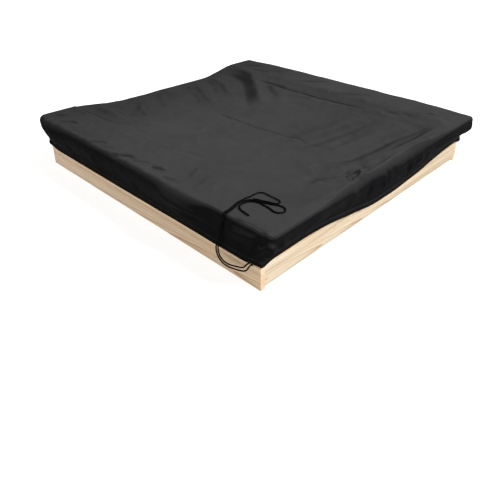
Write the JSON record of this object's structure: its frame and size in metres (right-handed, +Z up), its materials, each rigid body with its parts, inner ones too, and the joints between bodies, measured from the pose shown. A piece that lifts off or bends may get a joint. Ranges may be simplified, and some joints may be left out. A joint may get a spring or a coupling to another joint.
{
  "type": "sandbox with cover",
  "caption": "Low square wooden sandbox with two bench boards and a lift-off fitted fabric cover with a drawstring hem.",
  "frame": {"origin": "on the ground under the middle of the box", "axes": "+X along the bench boards, -Y towards the side where the drawstring leaves the hem, +Z up"},
  "size_m": [1.305, 1.2417, 0.2121],
  "materials": {
    "pine_boards": "planed, untreated",
    "pine_framing": "planed, untreated",
    "pine_benches": "planed, untreated",
    "zinc_screws": "yellow zinc plated",
    "cover_fabric": "matte coated polyester weave",
    "drawstring_cord": "braided polyester"
  },
  "bodies": {
    "frame": {"front_board_lower": "pine_boards", "front_board_middle": "pine_boards", "front_board_upper": "pine_boards", "back_board_lower": "pine_boards", "back_board_middle": "pine_boards", "back_board_upper": "pine_boards", "left_board_lower": "pine_boards", "left_board_middle": "pine_boards", "left_board_upper": "pine_boards", "right_board_lower": "pine_boards", "right_board_middle": "pine_boards", "right_board_upper": "pine_boards", "corner_post_front_left": "pine_framing", "corner_post_front_right": "pine_framing", "corner_post_back_left": "pine_framing", "corner_post_back_right": "pine_framing", "batten_front": "pine_framing", "batten_back": "pine_framing", "batten_left": "pine_framing", "batten_right": "pine_framing", "bench_front": "pine_benches", "bench_back": "pine_benches", "screws_front_wall": "zinc_screws", "screws_back_wall": "zinc_screws", "screws_left_wall": "zinc_screws", "screws_right_wall": "zinc_screws", "screws_front_bench": "zinc_screws", "screws_back_bench": "zinc_screws"},
    "cover": {"cover_top": "cover_fabric", "cover_skirt_front": "cover_fabric", "cover_skirt_right": "cover_fabric", "cover_skirt_back": "cover_fabric", "cover_skirt_left": "cover_fabric", "cover_hem_front": "cover_fabric", "cover_hem_right": "cover_fabric", "cover_hem_back": "cover_fabric", "cover_hem_left": "cover_fabric", "drawstring_in_hem": "drawstring_cord", "drawstring_tail_a": "drawstring_cord", "drawstring_tail_b": "drawstring_cord"}
  },
  "joints": [
    {"name": "cover_lift", "type": "slide", "parent": "frame", "child": "cover", "axis": [0, 0, 1], "range_m": [0, 0.3]}
  ]
}
